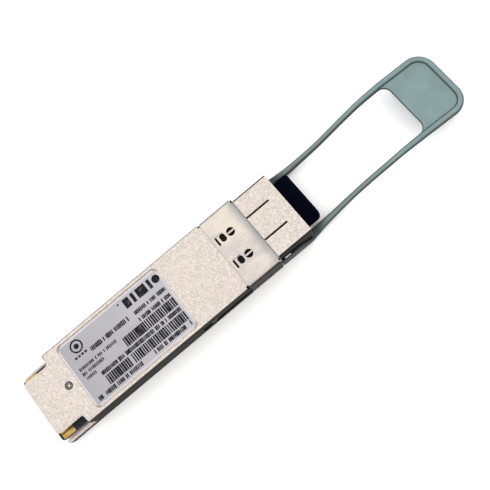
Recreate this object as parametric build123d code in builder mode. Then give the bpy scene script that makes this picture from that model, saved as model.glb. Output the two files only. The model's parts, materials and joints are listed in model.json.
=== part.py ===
from build123d import *
import os

# An optical transceiver module with a duplex fibre socket, a pull tab that works its release
# slider, and a dust plug. Sizes are in millimetres. +Z is up out of the label face and -Y points
# out of the socket, along the pull tab. The origin is on the plane of the bottom face, at the
# middle of the whole part's footprint.

os.makedirs("parts", exist_ok=True)

# Envelope
body_width = 18.35
body_height = 8.5
body_length = 72.4
overall_length = 118.8
half_width = body_width / 2
rear_y = overall_length / 2

# Stations are distances forward of the rear end of the cover's flat face.
base_rear = -1.8
cover_rear = -0.55
groove_rear = 38.0
collar_rear = 52.1
nose_rear = 61.35
nose_front = body_length + base_rear
tab_end = overall_length + base_rear

# Base and cover
floor_top = 1.0
wide_cavity = 8.3
narrow_cavity = 7.8
narrow_cavity_rear = 36.8
cover_thickness = 1.2
seam_z = body_height - cover_thickness
notch_length = 6.5
tongue_half_width = 6.8
notch_wall_top = 2.4
screw_station = 7.9
label_span = (10.3, 38.45)
label_half_width = 7.9
label_sink = 0.15
label_thickness = 0.1

# Collar
sheet = 0.2
collar_top = body_height + 0.1
collar_side_front = 60.9
collar_lip_half_width = 8.1
collar_curl_start = 58.7
collar_curl_drop = 0.45
port_offset = 3.2
collar_hole_station = 56.8
collar_hole_r = 1.0
window_group = (collar_hole_station - 3.9, collar_hole_station - 1.45)

# Nose and socket
nose_half_width = 8.3
socket_half_width = 6.05
socket_floor = 1.1
socket_roof = 7.6
fibre_pitch = 6.25
fibre_z = 3.75
port_width = 4.7
port_height = 4.6
port_rear = nose_rear + 1.15
port_mouth = nose_front - 0.6
ferrule_bore_r = 0.635
sleeve_r = 0.95
barrel_r = 1.25
barrel_front = nose_rear + 4.65
sleeve = (nose_rear + 0.35, nose_rear + 4.35)
roof_slot_front = 67.75

# Circuit board
board_bottom = 3.75
board_top = 4.75
board_half_width = 8.2
board_neck_half_width = 7.55
board_neck = 36.5
board_front = 41.0
contact_pitch = 0.8
contact_count = 19

# Release slider and pull tab
slider_plate = (8.5, 8.8)
slider_z = (2.3, 4.7)
slider_rear = 40.2
bridge = (nose_rear + 0.65, nose_rear + 4.45)
bridge_z = (0.05, 0.35)
channel_depth = 0.5
spring_x = 7.2
spring_z = 1.45
spring_span = (nose_rear + 1.0, nose_rear + 7.05)
arm_start = nose_rear + 0.15
arm_inner = 8.4
arm_outer = 9.12
opening_end = 104.7
tab_corner_r = 4.5


def station(distance):
    """Y at a distance forward of the rear end of the cover's flat face."""
    return rear_y + base_rear - distance


def span(rear, front):
    """The Y limits of a stretch between two stations."""
    return (station(front), station(rear))


def around(middle, width):
    """The limits of a width centred on a middle."""
    return (middle - width / 2, middle + width / 2)


def block(x, y, z, mode=Mode.ADD):
    """A box between a low and a high limit along each axis, in the part that is being built."""
    limits = (x, y, z)
    with Locations(tuple((low + high) / 2 for low, high in limits)):
        return Box(*(high - low for low, high in limits), mode=mode)


def rod(radius, x, z, rear, front, mode=Mode.ADD):
    """A cylinder along Y between two stations, in the part that is being built."""
    with Locations((x, station((rear + front) / 2), z)):
        return Cylinder(radius, front - rear, rotation=(90, 0, 0), mode=mode)


def save(builder, name):
    """Labels a finished part and writes it."""
    builder.part.label = name
    export_step(builder.part, f"parts/{name}.step")


def band_core(inset, rear, front):
    """The solid within the collar's band, inset from its outside, with the curled front of its top."""
    crown = collar_top - inset
    with BuildPart() as core:
        with BuildSketch(Plane.XZ.offset(-station(rear))):
            with Locations((0, (crown + inset) / 2)):
                Rectangle(body_width - 2 * inset, crown - inset)
            top_corners = vertices().group_by(Axis.Y)[-1]
            fillet(top_corners, 0.9 - inset)
            fillet(vertices().group_by(Axis.Y)[0], 0.6 - inset)
        extrude(amount=front - rear)
        curl_end = station(front)
        with BuildSketch(Plane.YZ):
            with BuildLine():
                bottom = Line((station(rear), 0), (curl_end, 0))
                front_edge = Line(bottom @ 1, (curl_end, crown - collar_curl_drop))
                curl = TangentArc((station(collar_curl_start), crown), front_edge @ 1, tangent=(-1, 0))
                Line(curl @ 0, (station(rear), crown))
                Line((station(rear), crown), bottom @ 0)
            make_face()
        extrude(amount=half_width, both=True, mode=Mode.INTERSECT)
    return core.part


band_outside = band_core(0, collar_rear + 0.15, nose_rear - 0.05)
band_inside = band_core(sheet, collar_rear, nose_rear)

# Base: the die-cast tray with the nose in one piece
with BuildPart() as base_housing:
    block((-half_width, half_width), span(base_rear, collar_rear), (0, seam_z))
    chamfer(base_housing.edges().filter_by(Axis.Y).group_by(Axis.Z)[0], 0.3)
    add(band_inside)
    block((-half_width, half_width), span(collar_rear, nose_rear), (seam_z, body_height), Mode.SUBTRACT)
    with BuildSketch(Plane.XZ.offset(-station(nose_rear))):
        with Locations((0, body_height / 2)):
            RectangleRounded(2 * nose_half_width, body_height, 0.5)
    extrude(amount=nose_front - nose_rear)
    front_face = base_housing.faces().sort_by(Axis.Y)[0]
    chamfer(front_face.outer_wire().edges(), 0.2)
    # Inside of the tray, wider around the card, and the socket through the nose
    tray = (floor_top, seam_z)
    block((-wide_cavity, wide_cavity), span(base_rear, narrow_cavity_rear), tray, Mode.SUBTRACT)
    block((-narrow_cavity, narrow_cavity), span(narrow_cavity_rear, nose_rear), tray, Mode.SUBTRACT)
    block(
        (-socket_half_width, socket_half_width),
        span(nose_rear - 0.5, nose_front),
        (socket_floor, socket_roof),
        Mode.SUBTRACT,
    )
    # Low side walls where the cover's corners are notched, with a lead-in at the rear
    block((-half_width, half_width), span(base_rear, notch_length), (notch_wall_top, seam_z), Mode.SUBTRACT)
    rear_uprights = base_housing.edges().filter_by(Axis.Z).group_by(Axis.Y)[-1].sort_by(Axis.X)
    chamfer([rear_uprights[0], rear_uprights[-1]], 0.5)
    # Rails and a screw post carry the circuit board
    for side in (-1, 1):
        rail = sorted((side * 7.5, side * wide_cavity))
        block(rail, span(5.0, 36.0), (floor_top, board_bottom))
    with Locations((0, station(screw_station), (floor_top + seam_z) / 2)):
        Cylinder(1.2, seam_z - floor_top)
    with Locations((0, station(screw_station), seam_z)):
        Hole(0.5, 4.0)
    # Slots through the nose's roof, over the two ports
    for side in (-1, 1):
        slot = around(side * port_offset, 0.5)
        roof = (socket_roof - 0.1, body_height)
        block(slot, span(nose_rear - 0.1, roof_slot_front), roof, Mode.SUBTRACT)
    # Side grooves for the release slider, with a deeper latch pocket at their rear end
    for side in (-1, 1):
        groove = sorted((side * arm_inner, side * half_width))
        block(groove, span(groove_rear, nose_rear), (slider_z[0] - 0.2, slider_z[1] + 0.2), Mode.SUBTRACT)
        pocket_z = (slider_z[0] - 0.7, slider_z[1] + 0.7)
        block(groove, span(groove_rear, groove_rear + 5.4), pocket_z, Mode.SUBTRACT)
    # Channel under the nose for the slider's bridge, and a pocket at each side for its spring
    channel = (-nose_half_width, nose_half_width)
    block(channel, span(nose_rear, spring_span[1]), (0, channel_depth), Mode.SUBTRACT)
    for side in (-1, 1):
        rod(0.75, side * spring_x, spring_z, bridge[0] - 0.1, spring_span[1], Mode.SUBTRACT)
        ear_path = span(bridge[0] - 0.1, bridge[0] + 2.8)
        block(around(side * spring_x, 1.2), ear_path, (channel_depth - 0.1, spring_z), Mode.SUBTRACT)
    # Shallow field on the underside
    with BuildSketch(Plane.XY):
        with Locations((0, station(26.0))):
            RectangleRounded(13.0, 30.0, 1.0)
    extrude(amount=0.15, mode=Mode.SUBTRACT)
save(base_housing, "base_housing")

# Cover: the plate of the label face, notched at its rear corners and stepped down under the collar
with BuildPart() as cover_step:
    add(band_inside)
    block((-half_width, half_width), span(collar_rear, nose_rear), (0, seam_z), Mode.SUBTRACT)

with BuildPart() as top_cover:
    with BuildSketch(Plane.XY.offset(seam_z)):
        with BuildLine():
            Polyline(
                (-half_width, station(collar_rear)),
                (-half_width, station(notch_length)),
                (-tongue_half_width, station(notch_length)),
                (-tongue_half_width, station(cover_rear)),
                (tongue_half_width, station(cover_rear)),
                (tongue_half_width, station(notch_length)),
                (half_width, station(notch_length)),
                (half_width, station(collar_rear)),
                close=True,
            )
        make_face()
        inner_corners = vertices().filter_by(lambda v: abs(abs(v.X) - tongue_half_width) < 0.01)
        fillet(inner_corners, 0.8)
    extrude(amount=cover_thickness)
    chamfer(top_cover.faces().sort_by(Axis.Z)[-1].edges().sort_by(Axis.Y)[-1], 0.5)
    top_edges = top_cover.faces().sort_by(Axis.Z)[-1].outer_wire().edges()
    ends = (station(collar_rear) + 0.1, station(0) - 0.1)
    chamfer(top_edges.filter_by(lambda e: ends[0] < e.center().Y < ends[1]), 0.15)
    add(cover_step.part)
    # Locating ribs that drop inside the tray's walls
    for side in (-1, 1):
        rib = sorted((side * 7.9, side * 8.2))
        block(rib, span(12.0, 36.0), (seam_z - 0.8, seam_z))
    # Screw recess, label recess, and the relief notches behind the collar
    with Locations((0, station(screw_station), body_height)):
        CounterBoreHole(0.55, 0.95, 0.5, depth=cover_thickness)
    with BuildSketch(Plane.XY.offset(body_height - label_sink)):
        with Locations((0, station(sum(label_span) / 2))):
            RectangleRounded(2 * label_half_width + 0.7, label_span[1] - label_span[0] + 0.7, 1.3)
    extrude(amount=label_sink, mode=Mode.SUBTRACT)
    for side in (-1, 1):
        notch = sorted((side * 8.55, side * half_width))
        block(notch, span(collar_rear - 0.5, collar_rear + 0.2), (seam_z + 0.2, body_height), Mode.SUBTRACT)
    # Wells under the collar's windows; a bar stands in each round one
    for side in (-1, 1):
        x = side * port_offset
        block(around(x, 2.0), span(*window_group), (seam_z + 0.3, body_height), Mode.SUBTRACT)
        with Locations((x, station(collar_hole_station), seam_z + 0.3)):
            Cylinder(collar_hole_r, 1.2, align=(Align.CENTER, Align.CENTER, Align.MIN), mode=Mode.SUBTRACT)
        block(
            around(x + 0.1, 0.45),
            span(collar_hole_station - collar_hole_r, collar_hole_station + collar_hole_r),
            (seam_z + 0.2, body_height - 0.25),
        )
save(top_cover, "top_cover")

# Collar: a sheet band around the joint between cover and nose
with BuildPart() as emi_collar:
    add(band_outside)
    add(band_inside, mode=Mode.SUBTRACT)
    # The band's sides and corners stop short of its top and bottom lips
    for side in (-1, 1):
        corner = sorted((side * collar_lip_half_width, side * (half_width + 1)))
        block(corner, span(collar_side_front, nose_rear + 1), (-1, body_height + 1), Mode.SUBTRACT)
    # Each window group: a slot, a rounded window joined by a thin cut, and a round hole
    for side in (-1, 1):
        x = side * port_offset
        through = (body_height - 1, body_height + 1)
        slot = span(window_group[0], window_group[0] + 0.5)
        block(around(x, 2.2), slot, through, Mode.SUBTRACT)
        block(around(x + 1.05, 0.12), span(*window_group), through, Mode.SUBTRACT)
        with BuildSketch(Plane.XY.offset(body_height - 1)):
            with Locations((x, station(window_group[1] - 0.7))):
                RectangleRounded(1.9, 1.4, 0.6)
            with Locations((x, station(collar_hole_station))):
                Circle(collar_hole_r)
        extrude(amount=2, mode=Mode.SUBTRACT)
save(emi_collar, "emi_collar")

# Screw that holds the cover to the base's post
with BuildPart() as cover_screw:
    with Locations((0, station(screw_station), seam_z + 0.7)):
        Cylinder(0.85, 0.4, align=(Align.CENTER, Align.CENTER, Align.MIN))
    with Locations((0, station(screw_station), seam_z - 2.8)):
        Cylinder(0.5, 3.5, align=(Align.CENTER, Align.CENTER, Align.MIN))
    with BuildSketch(Plane.XY.offset(seam_z + 0.85)):
        with Locations((0, station(screw_station))):
            Rectangle(0.9, 0.22)
            Rectangle(0.22, 0.9)
    extrude(amount=0.3, mode=Mode.SUBTRACT)
save(cover_screw, "cover_screw")

# Label, in its recess in the cover
with BuildPart() as label:
    with BuildSketch(Plane.XY.offset(body_height - label_sink)):
        with Locations((0, station(sum(label_span) / 2))):
            RectangleRounded(2 * label_half_width, label_span[1] - label_span[0], 1.0)
    extrude(amount=label_thickness)
save(label, "label")

# Circuit board, whose rear end is the card edge
with BuildPart() as circuit_board:
    with BuildSketch(Plane.XY.offset(board_bottom)):
        with BuildLine():
            Polyline(
                (-board_half_width, station(base_rear + 0.1)),
                (board_half_width, station(base_rear + 0.1)),
                (board_half_width, station(board_neck)),
                (board_neck_half_width, station(board_neck)),
                (board_neck_half_width, station(board_front)),
                (-board_neck_half_width, station(board_front)),
                (-board_neck_half_width, station(board_neck)),
                (-board_half_width, station(board_neck)),
                close=True,
            )
        make_face()
        fillet(vertices().group_by(Axis.Y)[-1], 0.8)
        with Locations((0, station(screw_station))):
            Circle(1.4, mode=Mode.SUBTRACT)
    extrude(amount=board_top - board_bottom)
    rear_face = circuit_board.faces().sort_by(Axis.Y)[-1]
    chamfer(rear_face.edges().filter_by(Axis.X), 0.2)
save(circuit_board, "circuit_board")

contact_thickness = 0.04
for name, bottom in (
    ("edge_contacts_top", board_top),
    ("edge_contacts_bottom", board_bottom - contact_thickness),
):
    with BuildPart() as contacts:
        with Locations((0, station(0.6), bottom + contact_thickness / 2)):
            with GridLocations(contact_pitch, 1, contact_count, 1):
                Box(0.56, 3.2, contact_thickness)
        # The outermost contacts are grounds, widened toward the card's sides
        for side in (-1, 1):
            ground = sorted((side * 7.2, side * 8.05))
            block(ground, span(-1.0, 2.2), (bottom, bottom + contact_thickness))
    save(contacts, name)

# Chips on the board's top face: name, width, length, height, x and station
chips = (
    ("laser_driver_chip", 5.5, 5.5, 0.9, 3.7, 33.4),
    ("clock_recovery_chip", 6.0, 6.0, 0.9, -3.6, 33.4),
    ("microcontroller_chip", 6.0, 6.0, 0.85, 1.6, 21.5),
    ("regulator_chip", 3.0, 3.0, 0.8, -5.2, 23.0),
)
for name, width, length, height, x, middle in chips:
    with BuildPart() as chip:
        block(around(x, width), around(station(middle), length), (board_top, board_top + height))
        chamfer(chip.faces().sort_by(Axis.Z)[-1].edges(), 0.1)
    save(chip, name)

with BuildPart() as power_inductors:
    for x, middle in ((-5.2, 17.5), (-5.2, 13.8), (5.8, 14.0)):
        block(around(x, 2.5), around(station(middle), 2.0), (board_top, board_top + 1.2))
save(power_inductors, "power_inductors")

with BuildPart() as passive_components:
    for x, middle, count in ((0.5, 27.3, 7), (0.5, 29.0, 7), (1.6, 15.6, 5), (1.6, 12.8, 5)):
        with Locations((x, station(middle), board_top + 0.2)):
            with GridLocations(1.3, 1, count, 1):
                Box(0.5, 1.0, 0.4)
save(passive_components, "passive_components")

with BuildPart() as chip_thermal_pad:
    block((-6.4, 6.3), span(31.0, 35.8), (board_top + 0.9, seam_z))
save(chip_thermal_pad, "chip_thermal_pad")

# Optics: for each fibre a package, its barrel, the ceramic sleeve and stub in it, and a flex
package_span = (nose_rear - 16.35, nose_rear - 3.85)
package_z = (1.25, 6.25)
tail_r = 1.9
stub_rear = nose_rear - 1.35
ledge_top = 4.2
flex_thickness = 0.12
for name, side in (("transmitter", 1), ("receiver", -1)):
    x = side * fibre_pitch / 2
    with BuildPart() as package:
        block(around(x, 5.9), span(*package_span), package_z)
        chamfer(package.edges().filter_by(Axis.Z), 0.3)
        block(around(x, 4.8), span(package_span[0] - 1.2, package_span[0]), (ledge_top - 0.7, ledge_top))
    save(package, f"{name}_package")

    with BuildPart() as barrel:
        rod(tail_r, x, fibre_z, package_span[1], nose_rear - 1.55)
        rod(2.3, x, fibre_z, nose_rear - 1.55, nose_rear - 0.05)
        rod(barrel_r, x, fibre_z, nose_rear - 0.05, barrel_front)
        rod(sleeve_r, x, fibre_z, stub_rear, barrel_front, Mode.SUBTRACT)
        chamfer(barrel.faces().sort_by(Axis.Y)[0].outer_wire().edges(), 0.12)
    save(barrel, f"{name}_barrel")

    with BuildPart() as split_sleeve:
        rod(sleeve_r, x, fibre_z, *sleeve)
        rod(ferrule_bore_r, x, fibre_z, *sleeve, Mode.SUBTRACT)
        block(around(x, 0.15), span(*sleeve), (fibre_z, fibre_z + 1), Mode.SUBTRACT)
    save(split_sleeve, f"{name}_sleeve")

    with BuildPart() as stub:
        rod(sleeve_r, x, fibre_z, stub_rear, sleeve[0] - 0.1)
    save(stub, f"{name}_stub")

    board_z = board_top + flex_thickness / 2
    ledge_z = ledge_top + flex_thickness / 2
    with BuildPart() as flex:
        with BuildSketch(Plane.YZ.offset(x)):
            with BuildLine():
                tail = Line((station(board_front - 2.6), board_z), (station(board_front - 0.3), board_z))
                hump = Spline(
                    tail @ 1,
                    (station(board_front + 1.3), board_z + 0.7),
                    (station(package_span[0] - 1.1), ledge_z),
                    tangents=[(-1, 0), (-1, 0)],
                )
                Line(hump @ 1, (station(package_span[0] - 0.1), ledge_z))
            trace(line_width=flex_thickness)
        extrude(amount=2.2, both=True)
    save(flex, f"{name}_flex")

with BuildPart() as optics_thermal_pad:
    block((-6.0, 6.0), span(package_span[0] + 1.5, package_span[1] - 1.5), (package_z[1], seam_z))
save(optics_thermal_pad, "optics_thermal_pad")

# Foam gasket and metal clamp, both dropped over the barrels' tails from above
for name, rear, front, wide, top in (
    ("emi_gasket", nose_rear - 3.8, nose_rear - 3.25, 7.6, 7.2),
    ("optics_clamp", nose_rear - 3.05, nose_rear - 1.65, 7.7, 7.25),
):
    with BuildPart() as saddle:
        block((-wide, wide), span(rear, front), (floor_top, top))
        for side in (-1, 1):
            x = side * fibre_pitch / 2
            rod(tail_r + 0.05, x, fibre_z, rear, front, Mode.SUBTRACT)
            block(around(x, 2 * tail_r + 0.1), span(rear, front), (floor_top, fibre_z), Mode.SUBTRACT)
    save(saddle, name)

# Socket insert: two ports with grooves for the connectors' latches
with BuildPart() as lc_receptacle:
    block((-6.0, 6.0), span(nose_rear + 0.05, port_mouth), (socket_floor + 0.05, socket_roof - 0.05))
    for side in (-1, 1):
        x = side * fibre_pitch / 2
        block(around(x, port_width), span(port_rear, port_mouth), around(fibre_z, port_height), Mode.SUBTRACT)
        block(around(x, 3.0), span(port_rear, port_mouth), (fibre_z, socket_roof), Mode.SUBTRACT)
        rod(barrel_r + 0.1, x, fibre_z, nose_rear, port_rear, Mode.SUBTRACT)
save(lc_receptacle, "lc_receptacle")

# Dust plug: a grip with two hollow prongs that fill the ports
with BuildPart() as dust_plug:
    grip_rear = nose_front + 0.1
    prong_rear = port_rear + 0.6
    with BuildSketch(Plane.XZ.offset(-station(grip_rear))):
        with Locations((0, 3.45)):
            RectangleRounded(12.4, 5.1, 1.0)
    extrude(amount=4.0)
    chamfer(dust_plug.faces().sort_by(Axis.Y)[0].edges(), 0.4)
    for side in (-1, 1):
        x = side * fibre_pitch / 2
        block(around(x, 4.3), span(prong_rear, grip_rear), around(fibre_z, 4.2))
        block(around(x, 1.8), span(prong_rear + 2.4, grip_rear), (fibre_z, 6.6))
        rod(1.65, x, fibre_z, prong_rear, barrel_front + 2.0, Mode.SUBTRACT)
save(dust_plug, "dust_plug")

# Release slider: a stamped U whose arms lie in the base's side grooves
with BuildPart() as release_slider:
    block((-slider_plate[1], slider_plate[1]), span(*bridge), bridge_z)
    with BuildSketch(Plane.XY):
        with Locations((0, station(sum(bridge) / 2))):
            SlotOverall(7.0, 1.6)
    extrude(amount=1, mode=Mode.SUBTRACT)
    for side in (-1, 1):
        plate = sorted((side * slider_plate[0], side * slider_plate[1]))
        block(plate, span(slider_rear, bridge[1]), slider_z)
        block(plate, span(*bridge), (bridge_z[0], slider_z[1]))
        # Lug that stands above the pull tab's arm
        block(plate, span(bridge[0] + 0.3, bridge[0] + 1.9), (slider_z[1] - 0.1, 5.4))
        # Ear that pushes the return spring
        block(around(side * spring_x, 0.9), span(bridge[0], spring_span[0]), (bridge_z[0], 2.0))
        # Ramped release tip at the arm's rear end
        with BuildSketch(Plane.XY.offset(slider_z[0])):
            with BuildLine():
                Polyline(
                    (side * slider_plate[1], station(slider_rear)),
                    (side * (slider_plate[1] + 0.3), station(slider_rear + 0.6)),
                    (side * (slider_plate[1] + 0.3), station(slider_rear + 1.2)),
                    (side * slider_plate[1], station(slider_rear + 2.4)),
                    close=True,
                )
            make_face()
        extrude(amount=slider_z[1] - slider_z[0])
save(release_slider, "release_slider")

# Return springs, between the slider's ears and the front ends of their pockets
wire_r = 0.11
coil_r = 0.48
spring_turns = 7
for name, side in (("return_spring_left", -1), ("return_spring_right", 1)):
    coil_length = spring_span[1] - spring_span[0] - 2 * wire_r - 0.02
    with BuildPart() as spring:
        with BuildLine():
            wire = Helix(
                pitch=coil_length / spring_turns,
                height=coil_length,
                radius=coil_r,
                center=(side * spring_x, station(spring_span[0] + wire_r + 0.01), spring_z),
                direction=(0, -1, 0),
            )
        with BuildSketch(Plane(origin=wire @ 0, z_dir=wire % 0)):
            Circle(wire_r)
        sweep(is_frenet=True)
    save(spring, name)

# Pull tab: the height of its bowed band's middle, by station
deep_front = nose_front - 5.0
heel_z = 0.1
arm_thickness = 2.0
web_thickness = 0.9
rim_width = 1.75
bow = ((71.8, 0.65), (74.0, 1.0), (76.4, 1.25), (80.6, 2.2), (85.1, 3.25), (89.4, 4.45), (93.6, 5.45),
       (98.0, 6.2), (102.5, 6.1), (107.2, 5.35), (112.0, 4.6), (tab_end, 3.85))


def side_band(thickness):
    """The tab's bowed band seen from the side, with the deeper arms beside the nose, as a solid."""
    halves = [min(thickness / 2, z - heel_z) for s, z in bow]
    top = [(station(s), z + half) for (s, z), half in zip(bow, halves)]
    bottom = [(station(s), z - half) for (s, z), half in zip(bow, halves)]
    with BuildPart() as band:
        with BuildSketch(Plane.YZ):
            with BuildLine():
                upper = Spline(*top, tangents=[(-1, 0.15), (-1, -0.15)])
                lower = Spline(*bottom, tangents=[(-1, 0), (-1, -0.15)])
                Line(upper @ 1, lower @ 1)
                slopes = [(-1, 0), (-1, 0.15)]
                shoulder = Spline((station(deep_front), slider_z[1]), upper @ 0, tangents=slopes)
                roof = Line((station(arm_start), slider_z[1]), shoulder @ 0)
                sole = Line((station(arm_start), heel_z), lower @ 0)
                Line(roof @ 0, sole @ 0)
            make_face()
        extrude(amount=half_width + 1, both=True)
    return band.part


pad_web = side_band(web_thickness)
full_band = side_band(arm_thickness)

# The hollows above and below the finger pad's web, inside its rim
with BuildPart() as pad_hollows:
    add(full_band)
    add(pad_web, mode=Mode.SUBTRACT)
    with BuildSketch(Plane.XY):
        with Locations((0, (station(opening_end - 2) + station(tab_end - rim_width)) / 2)):
            Rectangle(13.7, tab_end - rim_width - opening_end + 2)
        fillet(vertices().group_by(Axis.Y)[0], tab_corner_r - rim_width)
    extrude(amount=body_height + 1, mode=Mode.INTERSECT)

with BuildPart() as pull_tab:
    add(full_band)
    with BuildSketch(Plane.XY):
        for side in (-1, 1):
            with BuildLine():
                outer = Spline(
                    (side * arm_outer, station(nose_front - 1.5)),
                    (side * 8.75, station(72.0)),
                    (side * 8.2, station(76.2)),
                    (side * 7.83, station(84.8)),
                    (side * 8.08, station(94.0)),
                    (side * 8.35, station(103.0)),
                    (side * 8.5, station(tab_end - tab_corner_r)),
                    tangents=[(0, -1), (0, -1)],
                )
                corner = JernArc(outer @ 1, (0, -1), tab_corner_r, -side * 90)
                end = Line(corner @ 1, (0, station(tab_end)))
                Line(end @ 1, (0, station(opening_end)))
                sill = Line((0, station(opening_end)), (side * 4.75, station(opening_end)))
                turn = JernArc(sill @ 1, (side, 0), 2.1, side * 90)
                inner = Spline(
                    turn @ 1,
                    (side * 6.78, station(94.0)),
                    (side * 6.58, station(84.8)),
                    (side * 6.7, station(76.5)),
                    (side * 6.65, station(nose_front + 0.3)),
                    tangents=[(0, 1), (0, 1)],
                )
                step = Line(inner @ 1, (side * arm_inner, station(nose_front + 0.3)))
                inside = Line(step @ 1, (side * arm_inner, station(arm_start)))
                rear = Line(inside @ 1, (side * arm_outer, station(arm_start)))
                Line(rear @ 1, outer @ 0)
            make_face()
    extrude(amount=body_height + 1, mode=Mode.INTERSECT)
    add(pad_hollows.part, mode=Mode.SUBTRACT)
    add(release_slider.part, mode=Mode.SUBTRACT)
save(pull_tab, "pull_tab")
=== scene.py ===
import json
import math

import bmesh
import bpy
from bpy.props import FloatProperty, FloatVectorProperty, IntProperty, PointerProperty
from mathutils import Euler, Matrix, Vector


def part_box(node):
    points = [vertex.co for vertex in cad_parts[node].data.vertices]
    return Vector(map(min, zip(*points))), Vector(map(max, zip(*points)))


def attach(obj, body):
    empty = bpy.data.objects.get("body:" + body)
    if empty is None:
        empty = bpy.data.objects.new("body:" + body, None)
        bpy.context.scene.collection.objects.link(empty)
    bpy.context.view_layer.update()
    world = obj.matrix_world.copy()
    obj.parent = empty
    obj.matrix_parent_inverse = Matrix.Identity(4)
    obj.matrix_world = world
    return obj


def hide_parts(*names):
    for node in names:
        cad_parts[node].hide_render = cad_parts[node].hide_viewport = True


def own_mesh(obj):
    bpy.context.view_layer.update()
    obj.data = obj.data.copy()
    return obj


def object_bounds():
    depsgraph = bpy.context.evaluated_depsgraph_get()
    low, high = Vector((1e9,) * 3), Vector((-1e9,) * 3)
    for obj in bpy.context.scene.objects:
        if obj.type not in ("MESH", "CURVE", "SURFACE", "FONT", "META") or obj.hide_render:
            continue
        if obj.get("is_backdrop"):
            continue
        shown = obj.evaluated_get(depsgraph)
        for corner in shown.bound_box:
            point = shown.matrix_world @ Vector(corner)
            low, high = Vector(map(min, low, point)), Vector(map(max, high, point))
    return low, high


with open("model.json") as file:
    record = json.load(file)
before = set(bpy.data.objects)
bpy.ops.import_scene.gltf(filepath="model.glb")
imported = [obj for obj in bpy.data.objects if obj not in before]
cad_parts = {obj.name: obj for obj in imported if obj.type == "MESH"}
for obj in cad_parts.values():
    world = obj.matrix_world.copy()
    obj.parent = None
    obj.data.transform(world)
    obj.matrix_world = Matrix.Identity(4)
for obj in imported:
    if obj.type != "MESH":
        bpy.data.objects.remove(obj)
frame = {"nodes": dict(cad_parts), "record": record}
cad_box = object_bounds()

bl_info = {
    "name": "Fibre Transceiver Module",
    "version": (1, 0, 0),
    "blender": (4, 5, 0),
    "location": "View3D > Sidebar > Transceiver",
    "description": "Finishes a pluggable fibre transceiver: castings, collar, label, pull tab, plug and inside",
    "category": "Object",
}

MM = 0.001

# Breaks along the edges of the small pieces, and how close two vertices are to count as one, in millimetres
SHEET_BREAK = 0.05
PLUG_BREAK = 0.1
GRIP_ROUND = 0.5
DOUBLE = 0.002
# How far from the module's middle plane the castings' flat faces, their rear ledges and the ground under the
# collar's windows reach, in millimetres; these bound the painted shade on the castings
FACE_HALF = 7.7
LEDGE_HALF = 8.4
WINDOWS_HALF = 4.6


# Node trees


class Wire:
    """An output socket in a node tree. Arithmetic on it adds Math nodes."""

    def __init__(self, tree, socket):
        self.tree = tree
        self.socket = socket

    def maths(self, operation, *operands):
        return self.tree.node("ShaderNodeMath", {"operation": operation}, dict(enumerate(operands)))

    def __add__(self, other):
        return self.maths("ADD", self, other)

    __radd__ = __add__

    def __sub__(self, other):
        return self.maths("SUBTRACT", self, other)

    def __rsub__(self, other):
        return self.maths("SUBTRACT", other, self)

    def __mul__(self, other):
        return self.maths("MULTIPLY", self, other)

    __rmul__ = __mul__

    def __truediv__(self, other):
        return self.maths("DIVIDE", self, other)

    def __abs__(self):
        return self.maths("ABSOLUTE", self)

    def whole(self):
        return self.maths("FLOOR", self)

    def part(self):
        return self.maths("FRACT", self)


class Tree:
    """A node tree with one method that adds any node."""

    def __init__(self, tree):
        self.tree = tree

    def plug(self, socket, value):
        if isinstance(value, Wire):
            self.tree.links.new(value.socket, socket)
        elif hasattr(socket, "default_value"):
            colour = socket.type == "RGBA" and len(value) == 3
            socket.default_value = (*value, 1.0) if colour else value

    def node(self, kind, settings=None, sockets=None, out=0):
        """Adds a node of a kind, makes its settings, then fills its sockets with values or wires."""
        made = self.tree.nodes.new(kind)
        for setting, value in (settings or {}).items():
            setattr(made, setting, value)
        for name, value in (sockets or {}).items():
            self.plug(made.inputs[name], value)
        return Wire(self, made.outputs[out])


class Finish(Tree):
    """A material, with its shader and the coordinates that its patterns follow."""

    def __init__(self, name, **constants):
        self.material = bpy.data.materials.new(name)
        self.material.use_nodes = True
        super().__init__(self.material.node_tree)
        self.shader = self.tree.nodes["Principled BSDF"]
        self.finish(**constants)
        self.place = self.node("ShaderNodeTexCoord", out="Object")

    def axis(self, name):
        """One coordinate of the object, in millimetres."""
        return self.node("ShaderNodeSeparateXYZ", {}, {0: self.place}, name) * 1000.0

    def noise(self, grain, detail=2.0, stretch=(1, 1, 1), sharp=0.5):
        """Noise from 0 to 1 whose features are about grain millimetres across."""
        place = self.node("ShaderNodeVectorMath", {"operation": "MULTIPLY"}, {0: self.place, 1: stretch})
        return self.node(
            "ShaderNodeTexNoise", {},
            {"Vector": place, "Scale": 1000.0 / grain, "Detail": detail, "Roughness": sharp},
        )

    def ease(self, value, low, high):
        """0 below low, 1 above high, and smooth between."""
        return self.node(
            "ShaderNodeMapRange", {"interpolation_type": "SMOOTHSTEP"},
            {"Value": value, "From Min": low, "From Max": high},
        )

    def mark(self, name):
        """A number that the piece's own mesh carries."""
        return self.node("ShaderNodeAttribute", {"attribute_name": name}, out="Fac")

    def blend(self, first, second, share):
        return self.node("ShaderNodeMix", {"data_type": "RGBA"}, {6: first, 7: second, 0: share}, out=2)

    def bump(self, height, depth, strength):
        """Raises the surface by height times depth millimetres."""
        return self.node(
            "ShaderNodeBump", {},
            {"Height": height, "Distance": depth * MM, "Strength": strength},
        )

    def finish(self, **varying):
        for word, value in varying.items():
            socket = word.replace("_", " ").title().replace("Ior", "IOR")
            self.plug(self.shader.inputs[socket], value)
        return self.material


# Settings


def colour(name, description, default):
    return FloatVectorProperty(
        name=name, description=description, default=default, subtype="COLOR", size=3, min=0.0, max=1.0
    )


def length(name, description, default):
    return FloatProperty(
        name=name, description=description, default=default * MM, min=0.0, subtype="DISTANCE", unit="LENGTH"
    )


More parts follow.
